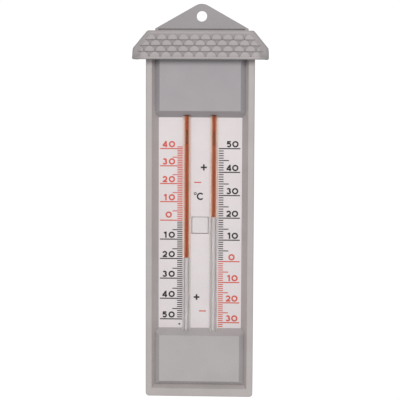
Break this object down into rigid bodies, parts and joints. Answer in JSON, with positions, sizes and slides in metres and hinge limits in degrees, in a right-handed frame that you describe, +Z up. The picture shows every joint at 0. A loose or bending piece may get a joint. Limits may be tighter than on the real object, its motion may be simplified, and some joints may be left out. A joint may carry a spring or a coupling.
{
  "type": "maximum minimum thermometer",
  "caption": "Wall-hung maximum-minimum thermometer with a U-shaped tube, index markers, push-button magnetic reset and a roof-shaped hood.",
  "frame": {"origin": "axis of the hanging hole, at the wall plane (the back face of the rear cover)", "axes": "+Z up along the body's length, +Y into the wall along the hanging hole, +X to the right seen from the front"},
  "size_m": [0.0788, 0.03, 0.2298],
  "materials": {
    "case_grey": "satin moulded",
    "roof_grey": "satin moulded",
    "cover_grey": "fine satin",
    "scale_white": "smooth white",
    "tube_glass": "clear",
    "mercury": "liquid metal",
    "spirit": "tinted liquid",
    "index_steel": "dark steel",
    "button_white": "smooth white",
    "carrier_plastic": "moulded",
    "magnet_rubber": "matt",
    "spring_steel": "drawn wire",
    "screw_zinc": "zinc plated",
    "felt": "felt"
  },
  "bodies": {
    "casing": {"rear_cover": "case_grey", "front_case": "case_grey", "roof_canopy": "roof_grey", "upper_cover": "cover_grey", "lower_cover": "cover_grey", "scale_plate": "scale_white", "glass_u_tube": "tube_glass", "mercury_thread": "mercury", "spirit_min_side": "spirit", "spirit_max_side": "spirit", "return_spring_upper": "spring_steel", "return_spring_lower": "spring_steel", "case_screws": "screw_zinc", "clip_screws": "screw_zinc", "bulb_cradle": "carrier_plastic", "bend_clip": "carrier_plastic", "bulb_pad": "felt", "bend_pad": "felt"},
    "reset_unit": {"reset_button": "button_white", "magnet_carrier": "carrier_plastic", "magnet_strip_min": "magnet_rubber", "magnet_strip_max": "magnet_rubber", "button_screw": "screw_zinc"},
    "min_marker": {"index_min": "index_steel"},
    "max_marker": {"index_max": "index_steel"}
  },
  "joints": [
    {"name": "button_press", "type": "slide", "parent": "casing", "child": "reset_unit", "axis": [0, 1, 0], "range_m": [0, 0.0025], "stiffness_N_per_m": 600, "springref_m": -0.002, "deforming": ["return_spring_upper", "return_spring_lower"]},
    {"name": "min_index_slide", "type": "slide", "parent": "casing", "child": "min_marker", "axis": [0, 0, 1], "range_m": [-0.0667, 0.0075]},
    {"name": "max_index_slide", "type": "slide", "parent": "casing", "child": "max_marker", "axis": [0, 0, 1], "range_m": [-0.0417, 0.0084]}
  ]
}
